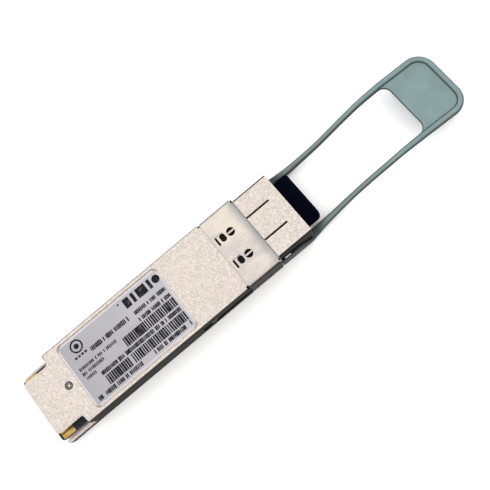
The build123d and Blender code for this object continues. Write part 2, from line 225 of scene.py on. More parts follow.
class TransceiverMetal(bpy.types.PropertyGroup):
    casting: colour("Casting", "Blasted nickel on the base and the cover", (0.560, 0.505, 0.460))
    # Painted shade: near-black for the sides of the castings, the collar and the slider, the rear ledges and
    # the wells under the collar's windows
    shade_tone: colour("Flank", "Dark sides of the castings, the collar and the slider", (0.018, 0.016, 0.014))
    collar: colour("Collar", "Sheet of the collar", (0.520, 0.472, 0.436))
    # Painted shade: blue-grey for the collar's curled front lip
    curl: colour("Collar's curl", "Bluish grey toward the collar's front lip", (0.27, 0.275, 0.285))
    steel: colour("Steel", "Screw, slider, clamp and barrels", (0.62, 0.61, 0.59))
    gold: colour("Gold", "Card contacts and optics packages", (0.44, 0.31, 0.10))
    grain: length("Grain", "Size of the casting's blasted grain", 0.23)
    eased_edge: length("Eased edge", "Width of the break along the castings' edges", 0.07)


class TransceiverPlastic(bpy.types.PropertyGroup):
    tab: colour("Pull tab", "Moulded teal-grey plastic", (0.172, 0.238, 0.242))
    # Painted shade: dark teal for the pull tab's upright faces and for its arms beside the nose
    tab_shade_tone: colour("Tab's sides", "Darker sides of the pull tab", (0.030, 0.043, 0.042))
    plug: colour("Dust plug", "Blue plastic, near black", (0.0018, 0.0026, 0.0065))
    board: colour("Board", "Solder mask", (0.006, 0.011, 0.012))
    tab_thickness: length("Tab thickness", "Height of the tab's rim", 2.0)
    web_thickness: length("Web thickness", "Thickness of the finger pad", 0.9)
    rim_width: length("Rim width", "Width of the rim across the tab's end", 1.75)
    tab_round: length("Tab rounding", "Radius of the rim's edges", 0.8)


class TransceiverLabel(bpy.types.PropertyGroup):
    film: colour("Film", "Lavender-grey label", (0.345, 0.338, 0.362))
    ink: colour("Ink", "Thermal print", (0.008, 0.008, 0.011))
    ink_thickness: length("Ink thickness", "How far the print stands proud", 0.012)
    bar_pitch: length("Bar pitch", "Spacing of the code's bars", 0.56)
    stroke_pitch: length("Stroke pitch", "Spacing of the strokes in a line of print", 0.40)
    seed: IntProperty(name="Seed", description="Order of the bars and strokes", default=7, min=0)


class TransceiverStage(bpy.types.PropertyGroup):
    floor: colour("Floor", "Plain pale floor", (0.98, 0.98, 0.98))
    sky: FloatProperty(
        name="Soft light", description="Strength of the surrounding light", default=1.35, min=0.0
    )
    key: FloatProperty(name="Key light", description="Power of the lamp", default=0.45, min=0.0, unit="POWER")
    lens: FloatProperty(name="Lens", description="Focal length", default=47.617, min=1.0, unit="CAMERA")


GROUPS = {
    "transceiver_metal": TransceiverMetal,
    "transceiver_plastic": TransceiverPlastic,
    "transceiver_label": TransceiverLabel,
    "transceiver_stage": TransceiverStage,
}


def settings(name):
    return getattr(bpy.context.scene, "transceiver_" + name)


def scaled(tone, *factors):
    """A colour times one factor, or times a factor for each channel, and no channel over 1."""
    return [min(1.0, c * k) for c, k in zip(tone, factors * 3 if len(factors) == 1 else factors)]


# Meshes


def add_piece(name, mesh, material, body, slot, *nodes):
    """Puts a mesh in the scene as a finished piece of the module, standing for CAD nodes if any are named."""
    if not mesh.polygons:
        raise RuntimeError(f"{name} has no faces")
    mesh.name = name
    mesh.materials.clear()
    mesh.materials.append(material)
    piece = bpy.data.objects.new(name, mesh)
    bpy.context.scene.collection.objects.link(piece)
    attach(piece, body)
    if nodes:
        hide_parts(*nodes)
    return piece


def paint(material, *nodes):
    """Gives CAD nodes a material in place of the plain one that they come with."""
    for node in nodes:
        piece = frame["nodes"][node]
        for slot in piece.material_slots:
            slot.link = "OBJECT"
            slot.material = material


def part_way(value, low, high):
    """0 at low, 1 at high, and even between."""
    return min(1.0, max(0.0, (value - low) / (high - low)))


def merged(node):
    """A bmesh from a CAD node's mesh, with its doubles merged."""
    form = bmesh.new()
    form.from_mesh(frame["nodes"][node].data)
    # Face layers for the painted shade and for the painted highlight along eased edges
    form.faces.layers.float.new("dark")
    form.faces.layers.float.new("edge_highlight")
    bmesh.ops.remove_doubles(form, verts=form.verts, dist=DOUBLE * MM)
    return form


def ease(form, width, segments=2, sharp=28.0, chosen=None):
    """Rounds the sharp outer edges, or only the chosen ones, and marks the new faces for a painted highlight.
    """
    bmesh.ops.dissolve_limit(form, angle_limit=math.radians(0.4), verts=form.verts, edges=form.edges)
    corners = [
        edge for edge in form.edges
        if len(edge.link_faces) == 2 and edge.is_convex
        and edge.calc_face_angle(0.0) > math.radians(sharp) and (chosen is None or chosen(edge))
    ]
    made = bmesh.ops.bevel(
        form, geom=corners, offset=width, segments=segments, profile=0.5, affect="EDGES", clamp_overlap=False
    )
    edge_highlight = form.faces.layers.float["edge_highlight"]
    for face in made["faces"]:
        face[edge_highlight] = 1.0
    bmesh.ops.triangulate(form, faces=[face for face in form.faces if len(face.verts) > 4])


def marked(form, name, painted_shade=None):
    """A mesh whose faces carry how much painted shade they get, from a function of each face's centre and
    normal.
    """
    form.normal_update()
    dark = form.faces.layers.float["dark"]
    for face in form.faces:
        face[dark] = painted_shade(face.calc_center_median(), face.normal) if painted_shade else 0.0
    mesh = bpy.data.meshes.new(name)
    form.to_mesh(mesh)
    form.free()
    mesh.shade_smooth()
    mesh.set_sharp_from_angle(angle=math.radians(25.0))
    return mesh


def sideways_shade(centre, normal):
    """Painted shade on faces that look across the module."""
    return part_way(abs(normal.x), 0.06, 0.34)


def casting_shade():
    """A function for the painted shade on the castings' sides, grooves and ledges, and in the wells under the
    collar's windows.
    """
    low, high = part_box("emi_collar")
    collar_rear = high.y - 0.3 * MM
    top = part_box("top_cover")[1].z
    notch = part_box("pull_tab")[0].y + (TAB_END - NOTCH_LENGTH) * MM

    def painted_shade(centre, normal):
        across = abs(centre.x)
        depth = top - centre.z
        beyond_face = across > FACE_HALF * MM
        if beyond_face and low.y < centre.y < collar_rear and normal.z > 0.3:
            return 0.0
        # Painted shade on the ledges and lower sides from the collar back to the rear notches
        if across > LEDGE_HALF * MM and depth > 0.2 * MM and collar_rear < centre.y < notch:
            return 1.0
        # Painted shade in the wells under the collar's windows
        if across < WINDOWS_HALF * MM and low.y < centre.y < high.y and 0.29 * MM < depth < 1.1 * MM:
            return 1.0
        # Painted shade on the sides, on faces that look across the module
        return sideways_shade(centre, normal) if beyond_face else 0.0

    return painted_shade


def shell(rings, closed=False):
    """A closed mesh through rings of equally many points; its two ends are capped unless it closes."""
    form = bmesh.new()
    loops = [[form.verts.new(point) for point in ring] for ring in rings]
    pairs = zip(loops, loops[1:] + loops[:1]) if closed else zip(loops, loops[1:])
    for first, second in pairs:
        for k in range(len(first)):
            after = (k + 1) % len(first)
            form.faces.new((first[k], first[after], second[after], second[k]))
    if not closed:
        form.faces.new(loops[0])
        form.faces.new(loops[-1])
    bmesh.ops.recalc_face_normals(form, faces=form.faces)
    return form


def joined(forms, name):
    """One mesh from several bmeshes."""
    whole = bpy.data.meshes.new(name)
    total = bmesh.new()
    for form in forms:
        part = bpy.data.meshes.new("part")
        form.to_mesh(part)
        form.free()
        total.from_mesh(part)
        bpy.data.meshes.remove(part)
    total.to_mesh(whole)
    total.free()
    return whole


def slab(outline, low, high):
    """A flat closed piece with an outline of (x, y) points between two heights."""
    return shell([[Vector((x, y, z)) for x, y in outline] for z in (low, high)])


# Rows of bars, for the label's print and for the pads round the chips


def bar_row_tree():
    """Geometry nodes for a row of bars along Y, with random widths, lengths and gaps."""
    group = bpy.data.node_groups.new("bar_row", "GeometryNodeTree")
    face = group.interface
    for name, kind, default in (
        ("Length", "Float", 10 * MM), ("Height", "Float", 1 * MM), ("Thickness", "Float", 0.01 * MM),
        ("Pitch", "Float", 0.5 * MM), ("Thinnest", "Float", 0.3), ("Thickest", "Float", 0.8),
        ("Shortest", "Float", 1.0), ("Gap Share", "Float", 0.0), ("Seed", "Int", 0),
        ("Finish", "Material", None),
    ):
        socket = face.new_socket(name, in_out="INPUT", socket_type="NodeSocket" + kind)
        if default is not None:
            socket.default_value = default
    face.new_socket("Bars", in_out="OUTPUT", socket_type="NodeSocketGeometry")
    tree = Tree(group)
    given = group.nodes.new("NodeGroupInput")
    ask = {socket.name: Wire(tree, socket) for socket in given.outputs if socket.name}

    def chance(low, high, salt):
        return tree.node(
            "FunctionNodeRandomValue", {"data_type": "FLOAT"},
            {2: low, 3: high, "Seed": ask["Seed"] + salt}, out=1,
        )

    along = tree.node("ShaderNodeCombineXYZ", {}, {"Y": ask["Pitch"]})
    start = tree.node("ShaderNodeCombineXYZ", {}, {"Y": ask["Pitch"] * 0.5})
    count = (ask["Length"] / ask["Pitch"] + 0.001).whole()
    line = tree.node(
        "GeometryNodeMeshLine", {"mode": "OFFSET"}, {"Count": count, "Start Location": start, "Offset": along}
    )
    gap = tree.node(
        "FunctionNodeRandomValue", {"data_type": "BOOLEAN"},
        {"Probability": ask["Gap Share"], "Seed": ask["Seed"]}, out=3,
    )
    kept = tree.node("GeometryNodeDeleteGeometry", {"domain": "POINT"}, {"Geometry": line, "Selection": gap})
    size = tree.node("ShaderNodeCombineXYZ", {}, {
        "X": ask["Height"] * chance(ask["Shortest"], 1.0, 11),
        "Y": ask["Pitch"] * chance(ask["Thinnest"], ask["Thickest"], 23),
        "Z": ask["Thickness"],
    })
    bar = tree.node("GeometryNodeMeshCube", {}, {"Size": (1.0, 1.0, 1.0)})
    bars = tree.node("GeometryNodeInstanceOnPoints", {}, {"Points": kept, "Instance": bar, "Scale": size})
    solid = tree.node("GeometryNodeRealizeInstances", {}, {0: bars})
    coated = tree.node("GeometryNodeSetMaterial", {}, {"Geometry": solid, "Material": ask["Finish"]})
    tree.plug(group.nodes.new("NodeGroupOutput").inputs[0], coated)
    return group


def bar_rows(name, rows, material):
    """One mesh from rows of bars: each row gives its start, whether it runs along X, and the tree's inputs."""
    group = bar_row_tree()
    names = {item.name: item.identifier for item in group.interface.items_tree if item.in_out == "INPUT"}
    form = bmesh.new()
    for number, (start, across, inputs) in enumerate(rows):
        holder = bpy.data.objects.new("row", bpy.data.meshes.new("row"))
        bpy.context.scene.collection.objects.link(holder)
        maker = holder.modifiers.new("bars", "NODES")
        maker.node_group = group
        maker[names["Finish"]] = material
        for key, value in {"Seed": number, **inputs}.items():
            maker[names[key]] = value
        view = holder.evaluated_get(bpy.context.evaluated_depsgraph_get())
        mesh = bpy.data.meshes.new_from_object(view)
        turn = Matrix.Rotation(math.radians(-90.0), 4, "Z") if across else Matrix.Identity(4)
        mesh.transform(Matrix.Translation(start) @ turn)
        form.from_mesh(mesh)
        holder.modifiers.clear()
        bpy.data.objects.remove(holder)
        bpy.data.meshes.remove(mesh)
    whole = bpy.data.meshes.new(name)
    form.to_mesh(whole)
    form.free()
    return whole


# Finishes


def blasted_nickel():
    """Warm off-white nickel, finely blasted, with painted shade on its sides and a painted highlight along its
    edges.
    """
    metal = settings("metal")
    grain = metal.grain / MM
    made = Finish("blasted_nickel", specular_ior_level=0.04)
    fine = made.noise(grain, sharp=0.6)
    broad = made.noise(grain * 2.4)
    cloud = made.noise(grain * 16.0)
    pale = scaled(metal.casting, 1.24)
    deep = scaled(metal.casting, 0.70)
    rosy = scaled(metal.casting, 1.0, 0.97, 0.98)
    tone = made.blend(deep, pale, made.ease(fine * 0.68 + broad * 0.32, 0.36, 0.64))
    tone = made.blend(tone, rosy, made.ease(cloud, 0.42, 0.68) * 0.3)
    # Painted highlight: the eased edges turn paler
    tone = made.blend(tone, pale, made.mark("edge_highlight") * 0.6)
    # Painted shade: near-black on the faces that the mesh marks dark
    dark = made.mark("dark")
    return made.finish(
        base_color=made.blend(tone, metal.shade_tone, dark),
        metallic=0.3 - dark * 0.28,
        roughness=0.52 + fine * 0.16,
        normal=made.bump(fine * 0.7 + broad * 0.3, 0.014, 0.5),
    )


def collar_sheet():
    """Smooth satin sheet, with painted shade in blue-grey down its curled front lip and near-black painted
    shade on its sides.
    """
    metal = settings("metal")
    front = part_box("emi_collar")[0].y / MM
    made = Finish("collar_sheet", specular_ior_level=0.04)
    y = made.axis("Y")
    smear = made.noise(3.4, stretch=(1.0, 0.45, 1.0))
    fine = made.noise(0.3)
    warm = scaled(metal.collar, 1.12, 1.10, 1.04)
    cool = scaled(metal.collar, 0.84, 0.86, 0.90)
    tone = made.blend(cool, warm, made.ease(smear * 0.62 + fine * 0.38, 0.38, 0.62))
    # Painted shade: blue-grey toward the front lip, where the sheet curls down away from the light
    curl = 1.0 - made.ease(y + smear * 1.6, front + 0.4, front + 3.6)
    tone = made.blend(tone, metal.curl, curl)
    # Painted shade: near-black on the faces that the mesh marks dark, the collar's sides
    dark = made.mark("dark")
    return made.finish(
        base_color=made.blend(tone, metal.shade_tone, dark),
        metallic=0.4 - dark * 0.38,
        roughness=0.4 + smear * 0.12,
        normal=made.bump(fine, 0.004, 0.4),
    )


def plain_steel(name, tint, brushed, rough=0.28):
    """Stamped or turned steel with fine lines across the direction that brushed stretches."""
    metal = settings("metal")
    made = Finish(name)
    lines = made.noise(0.5, 3.0, brushed)
    spots = made.noise(1.6)
    dark = scaled(metal.steel, tint * 0.72)
    pale = scaled(metal.steel, tint * 1.1)
    return made.finish(
        base_color=made.blend(dark, pale, made.ease(lines * 0.6 + spots * 0.4, 0.3, 0.7)),
        metallic=0.9,
        roughness=rough + lines * 0.2,
        normal=made.bump(lines, 0.006, 0.35),
    )


def turned_screw():
    """Dark oiled steel, darker toward the edge of its head, with a painted highlight as a bright spot in the
    middle of its drive.
    """
    metal = settings("metal")
    low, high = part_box("cover_screw")
    made = Finish("screw_steel", specular_ior_level=0.2)
    x = made.axis("X") - (low.x + high.x) / 2 / MM
    y = made.axis("Y") - (low.y + high.y) / 2 / MM
    out = x * x + y * y
    film = made.noise(0.35)
    black, deep, grey, bright = (scaled(metal.steel, k) for k in (0.06, 0.12, 0.32, 1.3))
    oiled = made.blend(deep, grey, made.ease(film, 0.35, 0.65))
    oiled = made.blend(oiled, black, made.ease(out, 0.36, 0.62))
    return made.finish(
        # Painted highlight: a bright spot in the middle of the drive
        base_color=made.blend(bright, oiled, made.ease(out, 0.03, 0.09)),
        metallic=0.6,
        roughness=0.4 + film * 0.2,
        normal=made.bump(film, 0.006, 0.4),
    )


def stamped_steel():
    """Plated slider stock, with painted shade making all of it near-black but the top of its lug."""
    metal = settings("metal")
    made = Finish("slider_steel", specular_ior_level=0.04)
    lines = made.noise(0.5, 3.0, (1.0, 8.0, 1.0))
    # Painted shade on the faces that the mesh marks dark
    dark = made.mark("dark")
    dull, bright = (scaled(metal.steel, k) for k in (0.85, 1.3))
    tone = made.blend(dull, bright, made.ease(lines, 0.3, 0.7))
    return made.finish(
        base_color=made.blend(tone, metal.shade_tone, dark),
        metallic=0.7 - dark * 0.68,
        roughness=0.3 + lines * 0.2,
        normal=made.bump(lines, 0.006, 0.35),
    )


def gold_plate(name, rough=0.22):
    """Gold with thin darker patches where it has rubbed."""
    metal = settings("metal")
    made = Finish(name)
    rub = made.noise(0.8, 3.0, (1.0, 0.3, 1.0))
    deep = scaled(metal.gold, 0.72, 0.58, 0.45)
    return made.finish(
        base_color=made.blend(deep, metal.gold, made.ease(rub, 0.35, 0.6)),
        metallic=0.85,
        roughness=rough + rub * 0.16,
        normal=made.bump(rub, 0.004, 0.3),
    )


def moulded(name, tone, grain, rough, depth, mottled=0.12, coat=0.0, gloss=0.5):
    """Moulded stock whose grain is grain millimetres across and depth deep, with a slight change of tone."""
    made = Finish(name, coat_weight=coat, specular_ior_level=gloss)
    fine = made.noise(grain)
    broad = made.noise(grain * 16.0)
    dark = scaled(tone, 1.0 - mottled)
    pale = scaled(tone, 1.0 + mottled)
    return made.finish(
        base_color=made.blend(dark, pale, made.ease(broad * 0.6 + fine * 0.4, 0.35, 0.65)),
        roughness=rough + fine * 0.14,
        normal=made.bump(fine, depth, 0.4),
    )


def tab_plastic():
    """Teal-grey moulded plastic, greyer on the arms, with painted shade down its sides and on the arms beside
    the nose.
    """
    plastic = settings("plastic")
    low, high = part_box("pull_tab")
    made = Finish("tab_plastic", specular_ior_level=0.12)
    fine = made.noise(0.22)
    broad = made.noise(4.5)
    dark = scaled(plastic.tab, 0.88)
    pale = scaled(plastic.tab, 1.12)
    tone = made.blend(dark, pale, made.ease(broad * 0.45 + fine * 0.55, 0.34, 0.66))
    arms = made.ease(made.axis("Y"), low.y / MM + 14.0, high.y / MM - 12.0)
    tone = made.blend(tone, scaled(plastic.tab, 0.9, 0.82, 0.76), arms)
    # Painted shade on the faces that the mesh marks dark
    tone = made.blend(tone, plastic.tab_shade_tone, made.mark("dark"))
    return made.finish(
        base_color=tone,
        roughness=0.5 + fine * 0.12,
        normal=made.bump(fine, 0.008, 0.4),
    )


def label_film():
    """Lavender-grey film, darker toward its low corner, with a painted highlight as a paler line round its cut
    edge.
    """
    label = settings("label")
    low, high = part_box("label")
    made = Finish("label_film", specular_ior_level=0.15)
    x = made.axis("X")
    y = made.axis("Y")
    along = (y - low.y / MM) / ((high.y - low.y) / MM)
    cloud = made.noise(5.0, stretch=(1.0, 0.5, 1.0))
    fine = made.noise(0.25)
    pale = scaled(label.film, 1.08)
    deep = scaled(label.film, 0.90)
    tone = made.blend(pale, deep, made.ease(along * 0.5 + cloud * 0.5 + fine * 0.12, 0.3, 0.85))
    from_side = high.x / MM - abs(x)
    from_end = (high.y - low.y) / 2 / MM - abs(y - (high.y + low.y) / 2 / MM)
    # Painted highlight: a paler line round the film's cut edge
    rim = 1.0 - made.ease(from_side.maths("MINIMUM", from_side, from_end), 0.16, 0.34)
    tone = made.blend(tone, scaled(label.film, 1.45), rim)
    return made.finish(
        base_color=tone,
        roughness=0.5 + cloud * 0.12,
        normal=made.bump(fine, 0.003, 0.3),
    )


def thermal_ink():
    """Black print whose density wanders a little."""
    label = settings("label")
    made = Finish("thermal_ink", specular_ior_level=0.08)
    wander = made.noise(1.2, 3.0)
    thin = [c + 0.05 for c in label.ink]
    return made.finish(
        base_color=made.blend(label.ink, thin, made.ease(wander, 0.5, 0.72)),
        roughness=0.5 + wander * 0.2,
        normal=made.bump(wander, 0.002, 0.3),
    )


# The pull tab's shape

# Stations run in millimetres forward of the rear end of the cover's flat face, as in the CAD. The rear
# notches end NOTCH_LENGTH into the cover, the arms are deep up to DEEP_FRONT and have thinned to the bowed
# band by BAND_START, and the loop's opening ends at OPENING_END, where the finger pad begins.
TAB_END = 117.0
NOTCH_LENGTH = 6.5
ARM_START = 61.5
DEEP_FRONT = 65.6
BAND_START = 71.8
OPENING_END = 104.7
# Radii of the loop's outer corners and of the opening's corners at the pad
CORNER = 4.5
SILL_CORNER = 2.1
# Lowest z of the tab, and the highest z of its deep arms
FOOT = 0.1
SHOULDER = 4.7
# Half the width of the opening at the pad, and of the pad's web, which runs into the rim
OPENING_HALF = 6.85
WEB_HALF = 7.1
# How far the web runs into the rim at the tab's end
WEB_OVERLAP = 0.4
# Steps along the arms, round each corner, across the web, along the web, and round its front edge
ARM_STEPS = 110
CORNER_STEPS = 18
WEB_COLUMNS = 48
WEB_STEPS = 16
EDGE_STEPS = 8
# (station, z) of the band's middle, and (station, half width) of its outer and inner sides
BOW = ((71.8, 0.65), (74.0, 1.0), (76.4, 1.25), (80.6, 2.2), (85.1, 3.25), (89.4, 4.45), (93.6, 5.45),
       (98.0, 6.2), (102.5, 6.1), (107.2, 5.35), (112.0, 4.6), (TAB_END, 3.85))
OUTER = ((ARM_START, 9.1), (69.1, 9.1), (72.0, 8.75), (76.2, 8.2), (84.8, 7.83), (94.0, 8.08),
         (103.0, 8.35), (TAB_END - CORNER, 8.5))
INNER = ((ARM_START, 8.42), (70.9, 8.42), (71.3, 6.68), (76.5, 6.7), (84.8, 6.58), (94.0, 6.78),
         (102.6, 6.85), (TAB_END - CORNER, 6.85))


def through(points, at):
    """The value at a place on a smooth curve through (place, value) points, without overshoot."""
    if at <= points[0][0]:
        return points[0][1]
    if at >= points[-1][0]:
        return points[-1][1]
    rises = [(b[1] - a[1]) / (b[0] - a[0]) for a, b in zip(points, points[1:])]
    slopes = [rises[0]]
    for before, after in zip(rises, rises[1:]):
        slopes.append(0.0 if before * after <= 0 else 2 * before * after / (before + after))
    slopes.append(rises[-1])
    k = max(i for i in range(len(points) - 1) if points[i][0] <= at)
    run = points[k + 1][0] - points[k][0]
    t = (at - points[k][0]) / run
    return (
        points[k][1] * (1 + 2 * t) * (1 - t) ** 2 + slopes[k] * run * t * (1 - t) ** 2
        + points[k + 1][1] * t * t * (3 - 2 * t) + slopes[k + 1] * run * t * t * (t - 1)
    )


def band_limits(at, thickness):
    """The lowest and highest z of the tab's bowed band at a station."""
    if at >= BAND_START:
        middle = through(BOW, at)
        half = min(thickness / 2, middle - FOOT)
        return middle - half, middle + half
    fall = part_way(at, DEEP_FRONT, BAND_START)
    fall = fall * fall * (3 - 2 * fall)
    return FOOT, SHOULDER + (2 * through(BOW, BAND_START) - FOOT - SHOULDER) * fall


def rounded_section(width, height, radius, steps):
    """(across, up) shares round a rounded rectangle, from 0 to 1 each way."""
    r = min(radius, 0.48 * width, 0.48 * height)
    ring = []
    for cx, cy, turn in ((width - r, height - r, 0), (r, height - r, 90), (r, r, 180), (width - r, r, 270)):
        for k in range(steps + 1):
            angle = math.radians(turn + 90 * k / steps)
            ring.append(((cx + r * math.cos(angle)) / width, (cy + r * math.sin(angle)) / height))
    return ring


def tab_mesh():
    """The pull tab: a rounded rim swept round the loop, and the finger pad's web within its end."""
    plastic = settings("plastic")
    thickness = plastic.tab_thickness / MM
    web = plastic.web_thickness / MM
    rim = plastic.rim_width / MM
    radius = plastic.tab_round / MM
    end_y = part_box("pull_tab")[0].y

    def place(x, at, z):
        return Vector((x * MM, end_y + (TAB_END - at) * MM, z * MM))

    middle = TAB_END - CORNER
    pairs = []
    for k in range(ARM_STEPS + 1):
        at = ARM_START + (middle - ARM_START) * k / ARM_STEPS
        pairs.append(((through(INNER, at), at), (through(OUTER, at), at)))
    outer_centre = through(OUTER, TAB_END) - CORNER
    inner_radius = CORNER - rim
    inner_centre = through(INNER, TAB_END) - inner_radius
    for k in range(1, CORNER_STEPS + 1):
        angle = math.radians(90 * k / CORNER_STEPS)
        c, s = math.cos(angle), math.sin(angle)
        pairs.append((
            (inner_centre + inner_radius * c, middle + inner_radius * s),
            (outer_centre + CORNER * c, middle + CORNER * s),
        ))
    for share in (0.75, 0.5, 0.25, 0.0):
        pairs.append(((inner_centre * share, TAB_END - rim), (outer_centre * share, TAB_END)))
    mirrored = [tuple((-x, at) for x, at in pair) for pair in reversed(pairs[:-1])]

    rings = []
    for inner, outer in pairs + mirrored:
        width = math.dist(inner, outer)
        low, high = band_limits((inner[1] + outer[1]) / 2, thickness)
        ring = []
        for across, up in rounded_section(width, high - low, radius, 6):
            x = inner[0] + across * (outer[0] - inner[0])
            at = inner[1] + across * (outer[1] - inner[1])
            low_here, high_here = band_limits(at, thickness)
            ring.append(place(x, at, low_here + up * (high_here - low_here)))
        rings.append(ring)
    loop = shell(rings)

    half = web / 2
    columns = []
    for k in range(WEB_COLUMNS + 1):
        x = WEB_HALF * math.sin(math.pi / 2 * (2 * k / WEB_COLUMNS - 1))
        past = min(SILL_CORNER, max(0.0, abs(x) - (OPENING_HALF - SILL_CORNER)))
        sill = OPENING_END - SILL_CORNER + math.sqrt(max(0.0, SILL_CORNER**2 - past**2))
        run = TAB_END - rim + WEB_OVERLAP - sill
        ring = []
        for j in range(WEB_STEPS + 1):
            at = sill + half + (run - half) * (1 - j / WEB_STEPS)
            ring.append((at, through(BOW, at) + half))
        for j in range(1, EDGE_STEPS):
            angle = math.radians(90 + 180 * j / EDGE_STEPS)
            at = sill + half + half * math.cos(angle)
            ring.append((at, through(BOW, at) + half * math.sin(angle)))
        for j in range(WEB_STEPS + 1):
            at = sill + half + (run - half) * j / WEB_STEPS
            ring.append((at, through(BOW, at) - half))
        columns.append([place(x, at, z) for at, z in ring])
    pad = shell(columns)

    mesh = joined((loop, pad), "pull_tab_loop")
    form = bmesh.new()
    form.from_mesh(mesh)
    # Painted shade: upright faces are marked dark, and so are the arms beside the nose, where the nose shades
    # them
    dark = form.faces.layers.float.new("dark")
    beside_nose = end_y + (TAB_END - BAND_START) * MM
    for face in form.faces:
        level = math.hypot(face.normal.x, face.normal.y)
        deep = 0.9 * part_way(face.calc_center_median().y, beside_nose - 4.0 * MM, beside_nose - 0.5 * MM)
        face[dark] = max(deep, part_way(level, 0.35, 0.85))
    form.to_mesh(mesh)
    form.free()
    mesh.shade_smooth()
    mesh.set_sharp_from_angle(angle=math.radians(50.0))
    return mesh


# Operators


class PieceOperator:
    bl_options = {"REGISTER", "UNDO"}

    def execute(self, context):
        self.make()
        return {"FINISHED"}


class TRANSCEIVER_OT_castings(PieceOperator, bpy.types.Operator):
    """Makes the die-cast base and the cover, with eased edges and a blasted nickel finish"""

    bl_idname = "transceiver.castings"
    bl_label = "Castings"

    def make(self):
        finish = blasted_nickel()
        # Painted shade for the castings' sides, ledges and window wells
        painted_shade = casting_shade()
        for node in ("base_housing", "top_cover"):
            form = merged(node)
            ease(form, settings("metal").eased_edge)
            mesh = marked(form, node, painted_shade)
            add_piece(node + "_cast", mesh, finish, "module", "cast_nickel", node)


class TRANSCEIVER_OT_collar(PieceOperator, bpy.types.Operator):
    """Makes the sheet collar round the joint of the cover and the nose"""

    bl_idname = "transceiver.collar"
    bl_label = "Collar"

    def make(self):
        # Painted shade: the collar's sides are marked dark
        mesh = marked(
            merged("emi_collar"), "emi_collar", lambda centre, normal: part_way(abs(normal.x), 0.4, 0.8)
        )
        add_piece("collar_band", mesh, collar_sheet(), "module", "collar_steel", "emi_collar")


class TRANSCEIVER_OT_hardware(PieceOperator, bpy.types.Operator):
    """Finishes the cover screw, the release slider and its return springs"""

    bl_idname = "transceiver.hardware"
    bl_label = "Hardware"

    def make(self):
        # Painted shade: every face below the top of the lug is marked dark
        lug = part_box("release_slider")[1].z - 0.2 * MM
        slider = merged("release_slider")
        ease(slider, SHEET_BREAK * MM, 1)
        stamping = marked(slider, "slider", lambda centre, normal: float(centre.z < lug))
        add_piece("slider_stamping", stamping, stamped_steel(), "release", "slider_steel", "release_slider")
        screw = merged("cover_screw")
        ease(screw, SHEET_BREAK * MM)
        turned = marked(screw, "screw")
        add_piece("screw_turned", turned, turned_screw(), "module", "screw_steel", "cover_screw")
        wire = plain_steel("spring_wire", 0.8, (6.0, 1.0, 6.0), 0.25)
        motions = frame["record"]["behaviour"]["joints"]
        travel = next(motion["range_m"][1] for motion in motions if motion["name"] == "release_slide")
        for side in ("left", "right"):
            node = "return_spring_" + side
            low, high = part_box(node)
            coil = add_piece("coil_" + side, marked(merged(node), node), wire, "module", "spring_steel", node)
            left_over = 1.0 - (travel + 0.05 * MM) / (high.y - low.y)
            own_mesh(coil)


